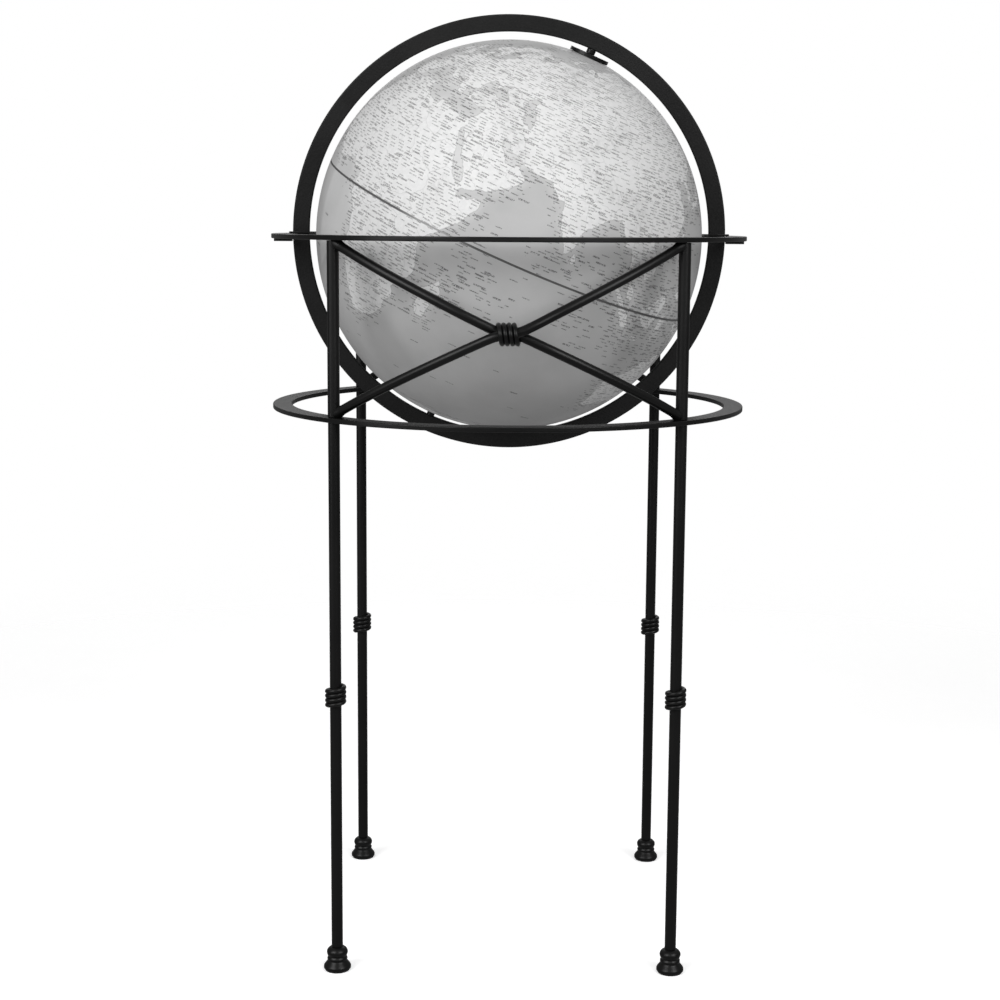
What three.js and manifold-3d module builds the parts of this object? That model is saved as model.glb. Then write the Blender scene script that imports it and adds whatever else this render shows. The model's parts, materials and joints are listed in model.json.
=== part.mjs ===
// Floor-standing terrestrial globe. A hollow ball turns on a tilted polar axis inside a flat meridian
// ring. The meridian swings on two side pivots inside a horizon ring, which four legs carry.
// Millimetres, +Z up, origin on the floor under the ball's centre, front towards -Y.
import * as THREE from "three";
import { mergeVertices } from "three/addons/utils/BufferGeometryUtils.js";
import Module from "manifold-3d";

const wasm = await Module();
wasm.setup();

// ---- driving dimensions ----
const CENTRE_HEIGHT = 745; // the ball's centre and the horizon ring's middle plane
const BALL_RADIUS = 203.2; // a 16 inch ball
const SHELL = 2;
const AXIS_TILT = 23.5; // degrees, polar axis from the vertical
const REST_SWING = 6.5; // degrees, how far the meridian leans to the front

const RING_OUTER = 250;
const RING_INNER = 230;
const RING_THICK = 4.8;
const RING_DROP = 177.5; // lower ring below the horizon ring
const EDGE = 0.8; // chamfer of the flat rings
const RING_SIDES = 64;
const BALL_SIDES = 36;

const MERIDIAN_OUTER = 228.5;
const MERIDIAN_INNER = 211;
const MERIDIAN_THICK = 7;

const LEG_OFFSET = 170.8; // leg axis from the stand's axis, along X and along Y
const POST_RADIUS = 6;
const LEG_RADIUS = 5.8;
const FOOT_HEIGHT = 24.6;
const PAD_THICK = 1.5;
const COLLAR_CENTRE = 288.5; // height above the floor

const BRACE_RADIUS = 240; // the brace rods bow round the ball at this distance
const ROD_RADIUS = 4.75;
const COIL_PITCH = 5;
const COIL_WIRE = 2.35;

const GAP = 0.3; // between pieces that touch
const RUN = 1.03; // a running bore's radius over its pin's

const CORNERS = [
  ["front_left", -1, -1],
  ["front_right", 1, -1],
  ["rear_left", -1, 1],
  ["rear_right", 1, 1],
];
const SIDES = [
  ["left", -1],
  ["right", 1],
];

// ---- materials ----
function coat(color, roughness, metalness) {
  return new THREE.MeshStandardMaterial({ color, roughness, metalness });
}
const blackMetal = coat(0x1a1a1a, 0.45, 0.6);
const castBlack = coat(0x1e1e1e, 0.55, 0.5);
const mapPaper = coat(0xa8a8a8, 0.5, 0);
const steel = coat(0x8a8a8a, 0.35, 0.9);
const plastic = coat(0x2a2a2a, 0.6, 0);
const rubber = coat(0x151515, 0.9, 0);

// ---- helpers ----
const radians = THREE.MathUtils.degToRad;

// A solid of revolution about +Z from [radius, height] points, listed with the solid on the left.
function turned(points, segments) {
  const outline = points.map(([r, z]) => new THREE.Vector2(r, z));
  return new THREE.LatheGeometry(outline, segments).rotateX(Math.PI / 2);
}

function cylinder(radius, low, high, segments = 16) {
  const shape = new THREE.CylinderGeometry(radius, radius, high - low, segments);
  return shape.rotateX(Math.PI / 2).translate(0, 0, (low + high) / 2);
}

function block(x0, x1, y0, y1, z0, z1) {
  const shape = new THREE.BoxGeometry(x1 - x0, y1 - y0, z1 - z0);
  return shape.translate((x0 + x1) / 2, (y0 + y1) / 2, (z0 + z1) / 2);
}

// Turns a shape made along +Z to lie along +X (side 1) or -X (side -1).
function sideways(shape, side) {
  return shape.rotateY((side * Math.PI) / 2);
}

function solidOf(shape) {
  const bare = shape.clone();
  bare.deleteAttribute("normal");
  bare.deleteAttribute("uv");
  const merged = mergeVertices(bare, 1e-3);
  const index = merged.index.array;
  const corners = [];
  for (let i = 0; i < index.length; i += 3) {
    const [a, b, c] = [index[i], index[i + 1], index[i + 2]];
    if (a !== b && b !== c && c !== a) corners.push(a, b, c);
  }
  const vertProperties = new Float32Array(merged.attributes.position.array);
  const triVerts = new Uint32Array(corners);
  return new wasm.Manifold(new wasm.Mesh({ numProp: 3, vertProperties, triVerts }));
}

function shapeOf(solid) {
  const { vertProperties, triVerts } = solid.getMesh();
  const shape = new THREE.BufferGeometry();
  shape.setAttribute("position", new THREE.BufferAttribute(vertProperties, 3));
  shape.setIndex(new THREE.BufferAttribute(triVerts, 1));
  shape.computeVertexNormals();
  return shape;
}

function cut(shape, tools) {
  const left = tools.reduce((solid, tool) => solid.subtract(solidOf(tool)), solidOf(shape));
  return shapeOf(left);
}

function join(shapes) {
  const [first, ...rest] = shapes.map(solidOf);
  return shapeOf(rest.reduce((solid, other) => solid.add(other), first));
}

// A round bar that follows a curve.
function bar(curve, radius, steps, sides) {
  const outline = new THREE.Shape();
  outline.absarc(0, 0, radius, 0, 2 * Math.PI);
  const options = { extrudePath: curve, steps, bevelEnabled: false, curveSegments: sides };
  return new THREE.ExtrudeGeometry(outline, options);
}

function piece(name, shape, material, x = 0, y = 0, z = 0) {
  const mesh = new THREE.Mesh(shape, material);
  mesh.name = name;
  mesh.position.set(x, y, z);
  return mesh;
}

// ---- flat rings ----
// The chamfered outline of a flat ring, closed on itself.
function bandOutline(inner, outer, thick) {
  const half = thick / 2;
  return [
    [inner + EDGE, -half],
    [outer - EDGE, -half],
    [outer, EDGE - half],
    [outer, half - EDGE],
    [outer - EDGE, half],
    [inner + EDGE, half],
    [inner, half - EDGE],
    [inner, EDGE - half],
    [inner + EDGE, -half],
  ];
}

const FACE = RING_THICK / 2; // a ring's faces, above and below its middle plane

// Countersunk screw through the horizon ring into a post; its head sits flush in the ring's top.
const SCREW_HEAD = 4;
const SCREW_SHANK = 2;
const SCREW_DEPTH = 22;

function ringScrew() {
  const top = FACE - 0.05;
  const outline = [
    [0, -SCREW_DEPTH],
    [SCREW_SHANK, -SCREW_DEPTH],
    [SCREW_SHANK, top - 2.4],
    [SCREW_HEAD, top - 0.4],
    [SCREW_HEAD, top],
    [0, top],
  ];
  return turned(outline, 12);
}

function ringScrewHole() {
  const outline = [
    [0, -FACE - 1],
    [SCREW_SHANK + GAP, -FACE - 1],
    [SCREW_SHANK + GAP, FACE - 2.6],
    [SCREW_HEAD + GAP, FACE - 0.5],
    [SCREW_HEAD + GAP, FACE + 1],
    [0, FACE + 1],
  ];
  return turned(outline, 12);
}

function atCorners(make) {
  return CORNERS.map(([, x, y]) => make().translate(x * LEG_OFFSET, y * LEG_OFFSET, 0));
}

// ---- side pivots: an L bracket under the horizon ring holds the pin that the meridian swings on ----
const LUG_INNER = 229.6;
const LUG_OUTER = 232.4;
const LUG_HALF_WIDTH = 5;
const LUG_TOP = 4.4;
const BRACKET_TOP = -FACE - GAP;
const BRACKET_THICK = 3.2;
const BRACKET_OUTER = 248.6;
const BRACKET_SCREWS = [238, 244.5]; // distance of the two screws from the stand's axis
const PIN_RADIUS = 2;
const PIN_START = 221;

function pivotBracket(side) {
  const bottom = BRACKET_TOP - BRACKET_THICK;
  const width = LUG_HALF_WIDTH;
  const plate = block(LUG_INNER, BRACKET_OUTER, -width, width, bottom, BRACKET_TOP);
  const lug = block(LUG_INNER, LUG_OUTER, -width, width, bottom, LUG_TOP);
  const bore = sideways(cylinder(PIN_RADIUS + GAP, LUG_INNER - 1, LUG_OUTER + 1), 1);
  const holes = BRACKET_SCREWS.map((x) => bracketScrew(GAP).translate(x, 0, 0));
  const bracket = cut(join([plate, lug]), [bore, ...holes]);
  return side > 0 ? bracket : bracket.rotateZ(Math.PI);
}

// Countersunk from below into the ring; room widens it into its own hole.
function bracketScrew(room) {
  const low = BRACKET_TOP - BRACKET_THICK - room;
  const outline = [
    [0, low],
    [2.7 + room, low],
    [1.5 + room, low + 1.4 + room],
    [1.5 + room, 1 + room],
    [0, 1 + room],
  ];
  return turned(outline, 10);
}

// A horseshoe plate that straddles the meridian just above each pivot. It lies level at rest.
const CLIP_INNER = 205;
const CLIP_WEB = 210.4;
const CLIP_OUTER = 229.1;
const CLIP_LOW = 2.9;
const CLIP_THICK = 1.5;
const CLIP_HALF_WIDTH = 9;

function swingClip(side) {
  const top = CLIP_LOW + CLIP_THICK;
  const width = CLIP_HALF_WIDTH;
  const slot = MERIDIAN_THICK / 2 + 3 * GAP;
  const plate = block(CLIP_INNER, CLIP_OUTER, -width, width, CLIP_LOW, top);
  const clip = cut(plate, [block(CLIP_WEB, CLIP_OUTER + 1, -slot, slot, CLIP_LOW - 1, top + 1)]);
  const turned = side > 0 ? clip : clip.rotateZ(Math.PI);
  return turned.rotateX(-radians(REST_SWING));
}

function horizonRing() {
  const band = turned(bandOutline(RING_INNER, RING_OUTER, RING_THICK), RING_SIDES);
  const notches = SIDES.map(([, side]) => {
    const reach = LUG_OUTER + 0.4;
    const notch = block(RING_INNER - 2, reach, -5.4, 5.4, -FACE - 1, FACE + 1);
    return side > 0 ? notch : notch.rotateZ(Math.PI);
  });
  const blind = SIDES.flatMap(([, side]) =>
    BRACKET_SCREWS.map((x) => cylinder(1.5 + GAP, -FACE - 1, 1.3, 10).translate(side * x, 0, 0)),
  );
  return cut(band, [...atCorners(ringScrewHole), ...notches, ...blind]);
}

// ---- legs ----
const STUD_RADIUS = 3;
const STUD_REACH = 12; // into the post above and the leg below
const LOWER_RING = CENTRE_HEIGHT - RING_DROP;
const POST_TOP = CENTRE_HEIGHT - FACE - GAP;
const POST_BOTTOM = LOWER_RING + FACE + GAP;
const LEG_TOP = LOWER_RING - FACE - GAP;
const SPIGOT = 12;

function lowerRing() {
  const band = turned(bandOutline(RING_INNER, RING_OUTER, RING_THICK), RING_SIDES);
  return cut(band, atCorners(() => cylinder(STUD_RADIUS + GAP, -FACE - 1, FACE + 1, 12)));
}

// A rod with a blind bore in each end, made by one closed turned outline.
function boredRod(radius, low, high, boreLow, deepLow, boreHigh, deepHigh) {
  const outline = [
    [0, low + deepLow],
    [boreLow, low + deepLow],
    [boreLow, low],
    [radius - 0.5, low],
    [radius, low + 0.5],
    [radius, high - 0.5],
    [radius - 0.5, high],
    [boreHigh, high],
    [boreHigh, high - deepHigh],
    [0, high - deepHigh],
  ];
  return turned(outline, 12);
}

function upperPost() {
  const bore = STUD_RADIUS + GAP;
  const deep = SCREW_DEPTH;
  return boredRod(POST_RADIUS, POST_BOTTOM, POST_TOP, bore, STUD_REACH + 1, SCREW_SHANK + GAP, deep);
}

function lowerLeg() {
  const bore = STUD_RADIUS + GAP;
  const low = FOOT_HEIGHT + GAP;
  return boredRod(LEG_RADIUS, low, LEG_TOP, bore, SPIGOT + 1, bore, STUD_REACH + 1);
}

function legStud() {
  return cylinder(STUD_RADIUS, LEG_TOP - STUD_REACH, POST_BOTTOM + STUD_REACH, 12);
}

// A turned foot: flared base, bead, neck and bulb, with a spigot up into the leg.
function foot() {
  const low = PAD_THICK + GAP;
  const outline = [
    [0, low],
    [13.4, low],
    [13.9, low + 0.7],
    [13.9, 4.6],
    [13.2, 6.1],
    [9.9, 10.4],
    [10.3, 11.8],
    [10.2, 13.4],
    [9.4, 15],
    [10.6, 17.6],
    [10.6, 20.6],
    [8.8, 23.2],
    [6.2, FOOT_HEIGHT],
    [STUD_RADIUS, FOOT_HEIGHT],
    [STUD_RADIUS, FOOT_HEIGHT + SPIGOT],
    [0, FOOT_HEIGHT + SPIGOT],
  ];
  return turned(outline, 14);
}

// ---- bound coils ----
class Coil extends THREE.Curve {
  // A helix about +Z whose turns are ovals of the two half widths.
  constructor(halfX, halfY, turns) {
    super();
    this.halfX = halfX;
    this.halfY = halfY;
    this.turns = turns;
  }
  getPoint(t, target = new THREE.Vector3()) {
    const angle = 2 * Math.PI * this.turns * t;
    const height = COIL_PITCH * this.turns * (t - 0.5);
    return target.set(this.halfX * Math.cos(angle), this.halfY * Math.sin(angle), height);
  }
}

const COIL_TURNS = 3.6;
const COIL_STEPS = 10; // to a turn

function coil(halfX, halfY) {
  return bar(new Coil(halfX, halfY, COIL_TURNS), COIL_WIRE, COIL_TURNS * COIL_STEPS, 3);
}

function legCollar() {
  const middle = LEG_RADIUS + GAP + COIL_WIRE + 0.4;
  return coil(middle, middle);
}

// ---- crossed brace rods ----
const ROD_END = 43.1; // degrees round from the front, where a rod meets its post
const ROD_HIGH = [-92.5, -7.6]; // a rising arm's height at the cross and at the post, from the centre
const ROD_LOW = [-84, -168.5]; // a falling arm's
const CROSS_HALF = 2.6; // degrees each way in which a rod changes from one arm to the other
const CROSS_BUMP = 12; // degrees each way in which the two rods step apart, front to back
const CROSS_SPREAD = 2; // least height of an arm over or under the cross

class BraceRod extends THREE.Curve {
  // rise 1 climbs to the right, -1 climbs to the left; step is how far it stands out at the cross.
  constructor(rise, step) {
    super();
    this.rise = rise;
    this.step = step;
  }
  getPoint(t, target = new THREE.Vector3()) {
    const angle = ROD_END * (2 * t - 1);
    const share = Math.abs(angle) / ROD_END;
    const high = ROD_HIGH[0] + (ROD_HIGH[1] - ROD_HIGH[0]) * (share + 0.1 * share * (1 - share));
    const low = ROD_LOW[0] + (ROD_LOW[1] - ROD_LOW[0]) * share;
    const half = Math.hypot(Math.max(high - low, 0) / 2, CROSS_SPREAD);
    const side = 2 * THREE.MathUtils.smoothstep(this.rise * angle, -CROSS_HALF, CROSS_HALF) - 1;
    const near = 1 - THREE.MathUtils.smoothstep(Math.abs(angle), CROSS_HALF, CROSS_BUMP);
    const radius = BRACE_RADIUS + this.step * near;
    const turn = radians(angle);
    const height = CENTRE_HEIGHT + (high + low) / 2 + half * side;
    return target.set(radius * Math.sin(turn), -radius * Math.cos(turn), height);
  }
}

function braceRod(rise) {
  const step = rise * (ROD_RADIUS + GAP / 2);
  return bar(new BraceRod(rise, step), ROD_RADIUS, 49, 4);
}

function braceBinding() {
  const halfZ = ROD_RADIUS + GAP + COIL_WIRE + 2.9;
  const halfY = 2 * ROD_RADIUS + GAP + COIL_WIRE + 2.5;
  return coil(halfZ, halfY).rotateY(Math.PI / 2);
}

// ---- meridian, in its own frame: the ring stands in the XZ plane, swings about X ----
const POLE_PIN = 2.5;
const POLE_PIN_OUT = 224;
const POLE_PIN_IN = 190;

function meridianRing() {
  const band = turned(bandOutline(MERIDIAN_INNER, MERIDIAN_OUTER, MERIDIAN_THICK), RING_SIDES);
  band.rotateX(Math.PI / 2);
  const swingBores = SIDES.map(([, side]) =>
    sideways(cylinder(PIN_RADIUS * RUN, PIN_START - 1, MERIDIAN_OUTER + 1), side),
  );
  const poleBore = cylinder(POLE_PIN + GAP, MERIDIAN_INNER - 2, POLE_PIN_OUT + 0.5, 12);
  const poleBores = [poleBore.clone(), poleBore.rotateX(Math.PI)];
  poleBores.forEach((bore) => bore.rotateY(radians(AXIS_TILT)));
  return cut(band, [...swingBores, ...poleBores]);
}

// ---- ball and polar axis, in the ball's own frame: +Z is the spin axis, towards the north pole ----
const BUSH_RADIUS = 7;
const DISC_LOW = BALL_RADIUS + GAP;
const DISC_HIGH = DISC_LOW + 2.8;
const DISC_RADIUS = 21;

function hemisphere() {
  const steps = 8;
  const start = GAP / 2;
  const hole = BUSH_RADIUS + GAP;
  const inner = BALL_RADIUS - SHELL;
  const arc = (radius, k) => {
    const first = Math.asin(start / radius);
    const last = Math.acos(hole / radius);
    const angle = first + ((last - first) * k) / steps;
    return [radius * Math.cos(angle), radius * Math.sin(angle)];
  };
  const outline = [];
  for (let k = 0; k <= steps; k += 1) outline.push(arc(BALL_RADIUS, k));
  for (let k = steps; k >= 0; k -= 1) outline.push(arc(inner, k));
  outline.push(outline[0]);
  return turned(outline, BALL_SIDES);
}

// The sleeve that joins the two halves inside the equator.
function equatorSleeve() {
  const outer = BALL_RADIUS - SHELL - 1.2;
  const outline = [
    [outer - 3, -8],
    [outer, -8],
    [outer, 8],
    [outer - 3, 8],
    [outer - 3, -8],
  ];
  return turned(outline, BALL_SIDES);
}

// A flanged bush in the shell's pole hole, bored for the pole pin.
function poleBush() {
  const bore = POLE_PIN * RUN;
  const flange = BALL_RADIUS - SHELL - 0.5;
  const outline = [
    [bore, flange - 6],
    [BUSH_RADIUS + 4, flange - 6],
    [BUSH_RADIUS + 4, flange - 2],
    [BUSH_RADIUS, flange - 2],
    [BUSH_RADIUS, BALL_RADIUS - 0.2],
    [bore, BALL_RADIUS - 0.2],
    [bore, flange - 6],
  ];
  return turned(outline, 16);
}

function sleeve(inner, outer, low, high, segments) {
  const outline = [
    [inner, low],
    [outer, low],
    [outer, high],
    [inner, high],
    [inner, low],
  ];
  return turned(outline, segments);
}

// A plate with a flat top and an underside that follows the ball.
function poleDisc() {
  const outline = [
    [POLE_PIN + GAP, DISC_LOW + 0.1],
    [DISC_RADIUS, DISC_LOW - 0.9],
    [DISC_RADIUS, DISC_HIGH],
    [POLE_PIN + GAP, DISC_HIGH],
    [POLE_PIN + GAP, DISC_LOW + 0.1],
  ];
  return turned(outline, 32);
}

// ---- assembly ----
const globe = new THREE.Group();

const stand = new THREE.Group();
globe.add(stand);
stand.add(piece("horizon_ring", horizonRing(), blackMetal, 0, 0, CENTRE_HEIGHT));
stand.add(piece("lower_ring", lowerRing(), blackMetal, 0, 0, LOWER_RING));
for (const [corner, sx, sy] of CORNERS) {
  const x = sx * LEG_OFFSET;
  const y = sy * LEG_OFFSET;
  stand.add(piece("ring_screw_" + corner, ringScrew(), blackMetal, x, y, CENTRE_HEIGHT));
  stand.add(piece("upper_post_" + corner, upperPost(), blackMetal, x, y));
  stand.add(piece("leg_stud_" + corner, legStud(), steel, x, y));
  stand.add(piece("lower_leg_" + corner, lowerLeg(), blackMetal, x, y));
  stand.add(piece("leg_collar_" + corner, legCollar(), blackMetal, x, y, COLLAR_CENTRE));
  stand.add(piece("foot_" + corner, foot(), blackMetal, x, y));
  stand.add(piece("foot_pad_" + corner, cylinder(12.5, 0, PAD_THICK, 20), rubber, x, y));
}
for (const [end, turn] of [
  ["front", 0],
  ["rear", Math.PI],
]) {
  const brace = new THREE.Group();
  brace.rotation.z = turn;
  stand.add(brace);
  brace.add(piece("brace_rod_rising_" + end, braceRod(1), blackMetal));
  brace.add(piece("brace_rod_falling_" + end, braceRod(-1), blackMetal));
  const height = CENTRE_HEIGHT + (ROD_HIGH[0] + ROD_LOW[0]) / 2;
  brace.add(piece("brace_binding_" + end, braceBinding(), blackMetal, 0, -BRACE_RADIUS, height));
}
for (const [name, side] of SIDES) {
  stand.add(piece("pivot_bracket_" + name, pivotBracket(side), blackMetal, 0, 0, CENTRE_HEIGHT));
  BRACKET_SCREWS.forEach((x, i) => {
    const screw = "bracket_screw_" + name + "_" + (i + 1);
    stand.add(piece(screw, bracketScrew(0), steel, side * x, 0, CENTRE_HEIGHT));
  });
  const pin = sideways(cylinder(PIN_RADIUS, PIN_START, LUG_OUTER), side);
  stand.add(piece("swing_pin_" + name, pin, steel, 0, 0, CENTRE_HEIGHT));
}

const meridian = new THREE.Group();
meridian.position.z = CENTRE_HEIGHT;
meridian.rotation.x = radians(REST_SWING);
globe.add(meridian);
meridian.add(piece("meridian_ring", meridianRing(), castBlack));
for (const [name, side] of SIDES) {
  meridian.add(piece("swing_clip_" + name, swingClip(side), blackMetal));
}

const polar = new THREE.Group();
polar.rotation.y = radians(AXIS_TILT);
meridian.add(polar);
for (const [pole, flip, width] of [
  ["north", 0, 4.7],
  ["south", Math.PI, 4.2],
]) {
  const end = new THREE.Group();
  end.rotation.x = flip;
  polar.add(end);
  const low = pole === "north" ? DISC_HIGH + GAP : DISC_LOW;
  const spacer = sleeve(POLE_PIN + GAP, width, low, MERIDIAN_INNER - GAP - 0.3, 16);
  end.add(piece("hemisphere_" + pole, hemisphere(), mapPaper));
  end.add(piece("pole_bush_" + pole, poleBush(), plastic));
  end.add(piece("pole_spacer_" + pole, spacer, blackMetal));
  end.add(piece("pole_pin_" + pole, cylinder(POLE_PIN, POLE_PIN_IN, POLE_PIN_OUT), steel));
}
polar.add(piece("pole_disc", poleDisc(), blackMetal));
polar.add(piece("equator_sleeve", equatorSleeve(), plastic));

export default globe;
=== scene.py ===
"""Looks of a floor-standing terrestrial globe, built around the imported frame.

Shapes are worked out in millimetres and written in metres, +Z up, front towards -Y. Every piece is built
where it stands, with its object at the origin, so a texture's object coordinates move with the piece.
"""
import json
import math

import bpy
import numpy as np
from mathutils import Matrix, Vector
from mathutils.kdtree import KDTree


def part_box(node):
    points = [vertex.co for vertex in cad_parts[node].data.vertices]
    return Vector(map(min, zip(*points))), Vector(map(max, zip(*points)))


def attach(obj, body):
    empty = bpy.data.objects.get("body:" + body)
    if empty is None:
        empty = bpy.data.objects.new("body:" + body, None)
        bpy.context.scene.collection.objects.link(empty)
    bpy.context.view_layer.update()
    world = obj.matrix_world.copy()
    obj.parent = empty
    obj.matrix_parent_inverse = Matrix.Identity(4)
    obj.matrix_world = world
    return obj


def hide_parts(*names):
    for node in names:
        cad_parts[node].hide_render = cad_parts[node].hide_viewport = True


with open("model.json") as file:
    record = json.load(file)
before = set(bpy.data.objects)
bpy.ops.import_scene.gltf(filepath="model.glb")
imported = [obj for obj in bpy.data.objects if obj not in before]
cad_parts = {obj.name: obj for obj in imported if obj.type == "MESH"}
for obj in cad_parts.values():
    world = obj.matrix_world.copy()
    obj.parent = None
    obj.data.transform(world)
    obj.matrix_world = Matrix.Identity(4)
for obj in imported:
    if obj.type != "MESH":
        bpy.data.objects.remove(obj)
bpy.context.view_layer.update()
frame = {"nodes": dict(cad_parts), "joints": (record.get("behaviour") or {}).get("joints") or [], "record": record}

MM = 0.001
TURN = 2 * math.pi
CORNERS = {"front_left": (-1, -1), "front_right": (1, -1), "rear_left": (-1, 1), "rear_right": (1, 1)}


def turned(angle, axis):
    return Matrix.Rotation(angle, 4, axis)


def raised(height):
    return Matrix.Translation((0, 0, height))


def box(node):
    """A CAD node's lowest and highest corners, in millimetres."""
    low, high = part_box(node)
    return low / MM, high / MM


# ---- sizes read from the frame ----
RING_LOW, RING_HIGH = box("horizon_ring")
RING_OUTER = RING_HIGH.x
CENTRE = (RING_LOW.z + RING_HIGH.z) / 2
FACE = (RING_HIGH.z - RING_LOW.z) / 2
DROP_LOW, DROP_HIGH = box("lower_ring")
LOWER_RING = (DROP_LOW.z + DROP_HIGH.z) / 2
POST_LOW, POST_HIGH = box("upper_post_front_right")
LEG_LOW, LEG_HIGH = box("lower_leg_front_right")
LEG_OFFSET = (LEG_LOW.x + LEG_HIGH.x) / 2
POST_RADIUS = (POST_HIGH.x - POST_LOW.x) / 2
LEG_RADIUS = (LEG_HIGH.x - LEG_LOW.x) / 2
COLLAR_LOW, COLLAR_HIGH = box("leg_collar_front_right")
FOOT_LOW, FOOT_HIGH = box("foot_front_right")
PAD_LOW, PAD_HIGH = box("foot_pad_front_right")

SPIN = Vector(next(j["axis"] for j in frame["joints"] if j["name"] == "ball_spin")).normalized()
AXIS_TILT = math.asin(SPIN.x)
LEAN = math.atan2(-SPIN.y, SPIN.z)

# ---- sizes that a box doesn't show ----
RING_INNER = 230
MERIDIAN_INNER = 211
MERIDIAN_OUTER = 228.5
MERIDIAN_THICK = 7
MERIDIAN_EDGE = 1.3
BALL_RADIUS = 203.2
SHELL = 2
SEAM = 0.15
POLE_HOLE = 7.3
PIN_RADIUS = 2.5
PIN_HOLE = 2.8

STAND_FRAME = raised(CENTRE)
MERIDIAN_FRAME = STAND_FRAME @ turned(LEAN, "X")
POLAR_FRAME = MERIDIAN_FRAME @ turned(AXIS_TILT, "Y")


# ---- node materials ----
class Nodes:
    """Short ways to add nodes to one node tree."""

    def __init__(self, tree):
        self.tree = tree

    def add(self, kind, inputs=(), **settings):
        made = self.tree.nodes.new("ShaderNode" + kind)
        for key, value in settings.items():
            setattr(made, key, value)
        for key, value in dict(inputs).items():
            self.put(made.inputs[key], value)
        return made

    def put(self, socket, value):
        if isinstance(value, bpy.types.NodeSocket):
            self.tree.links.new(value, socket)
        else:
            socket.default_value = value

    def calc(self, operation, *values):
        return self.add("Math", enumerate(values), operation=operation).outputs[0]

    def times(self, first, second):
        return self.calc("MULTIPLY", first, second)

    def plus(self, first, second):
        return self.calc("ADD", first, second)


class Paint(Nodes):
    """One node material on a Principled shader."""

    def __init__(self, name, **constants):
        self.material = bpy.data.materials.new(name)
        self.material.use_nodes = True
        super().__init__(self.material.node_tree)
        self.shader = self.tree.nodes["Principled BSDF"]
        for socket, value in constants.items():
            self.shader.inputs[socket.replace("_", " ")].default_value = value

    def ramp(self, value, start, end, low=0.0, high=1.0):
        """Goes smoothly from low to high as value goes from start to end."""
        inputs = {"Value": value, "From Min": start, "From Max": end, "To Min": low, "To Max": high}
        return self.add("MapRange", inputs, interpolation_type="SMOOTHSTEP").outputs["Result"]

    def mix(self, factor, first, second):
        return self.add("Mix", {0: factor, 2: first, 3: second}, data_type="FLOAT").outputs[0]

    def noise(self, vector, scale, detail=4.0, roughness=0.5):
        inputs = {"Vector": vector, "Scale": scale, "Detail": detail, "Roughness": roughness}
        return self.add("TexNoise", inputs).outputs["Fac"]

    def vector(self, x, y, z):
        return self.add("CombineXYZ", {0: x, 1: y, 2: z}).outputs[0]

    def dice(self, vector):
        """A random value and a random colour for each whole-number vector."""
        made = self.add("TexWhiteNoise", {"Vector": vector}, noise_dimensions="3D")
        parts = self.add("SeparateColor", {0: made.outputs["Color"]}).outputs
        return made.outputs["Value"], parts[0], parts[1], parts[2]

    def attribute(self, name, output="Fac"):
        return self.add("Attribute", attribute_name=name).outputs[output]

    def place(self):
        return self.add("TexCoord").outputs["Object"]

    def bump(self, height, strength, distance):
        inputs = {"Height": height, "Strength": strength, "Distance": distance}
        self.put(self.shader.inputs["Normal"], self.add("Bump", inputs).outputs["Normal"])

    def set(self, socket, value):
        self.put(self.shader.inputs[socket], value)


def painted_metal():
    """Satin black paint over forged bar: a faint hammered swell, fine tooth and duller patches."""
    paint = Paint("satin_black_paint", Specular_IOR_Level=0.24, Metallic=0)
    place = paint.place()
    swell = paint.noise(place, 45, 2)
    tooth = paint.noise(place, 1400, 3, 0.6)
    cloud = paint.noise(place, 9, 4)
    paint.set("Base Color", paint.ramp(cloud, 0.3, 0.7, 0.0028, 0.0048))
    paint.set("Roughness", paint.ramp(paint.mix(0.4, cloud, tooth), 0.35, 0.65, 0.32, 0.38))
    paint.bump(paint.mix(0.12, swell, tooth), 0.06, 0.0016)
    return paint.material


def cast_metal():
    """Black crinkle finish of the meridian: a fine leathery grain."""
    paint = Paint("black_crinkle_finish", Specular_IOR_Level=0.26)
    place = paint.place()
    grain = paint.add("TexVoronoi", {"Vector": place, "Scale": 620}, feature="F1").outputs["Distance"]
    tooth = paint.noise(place, 900, 4, 0.6)
    cloud = paint.noise(place, 14, 5)
    height = paint.mix(0.5, grain, tooth)
    paint.set("Base Color", paint.ramp(paint.mix(0.35, cloud, tooth), 0.35, 0.65, 0.0045, 0.0085))
    paint.set("Roughness", paint.ramp(cloud, 0.35, 0.65, 0.46, 0.58))
    paint.bump(height, 0.45, 0.0006)
    return paint.material


def bright_steel():
    """Turned steel of pins and studs, with fine lathe rings."""
    paint = Paint("turned_steel", Metallic=1)
    place = paint.place()
    rings = paint.add("TexWave", {"Vector": place, "Scale": 900, "Distortion": 1.5}).outputs["Fac"]
    stain = paint.noise(place, 160, 4)
    paint.set("Base Color", paint.ramp(stain, 0.3, 0.7, 0.42, 0.56))
    paint.set("Roughness", paint.ramp(rings, 0, 1, 0.26, 0.4))
    paint.bump(rings, 0.15, 0.0001)
    return paint.material


def speckled(name, specular, grain, tones, roughness, bump):
    """A plain material whose tone, roughness and height follow one fine noise."""
    paint = Paint(name, Specular_IOR_Level=specular)
    spark = paint.noise(paint.place(), *grain)
    paint.set("Base Color", paint.ramp(spark, 0.3, 0.7, *tones))
    paint.set("Roughness", paint.ramp(spark, 0.3, 0.7, *roughness))
    paint.bump(spark, *bump)
    return paint.material


# ---- map print ----
LAND_TONE = 0.69
OCEAN_TONE = 0.45
DEGREE = math.pi / 180
# LETTER is in degrees. The others are shares: of a word's cell, of a row's height, of all marks.
LETTER = 0.12
WORD_START = 0.14
WORD_SHORTEST = 0.38
WORD_SPREAD = 0.42
LINE_MIDDLE = 0.34
LINE_HALF = 0.19
LINE_DROP = -0.3
LETTER_GAPS = 0.36
LETTER_ROWS = 9


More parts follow.
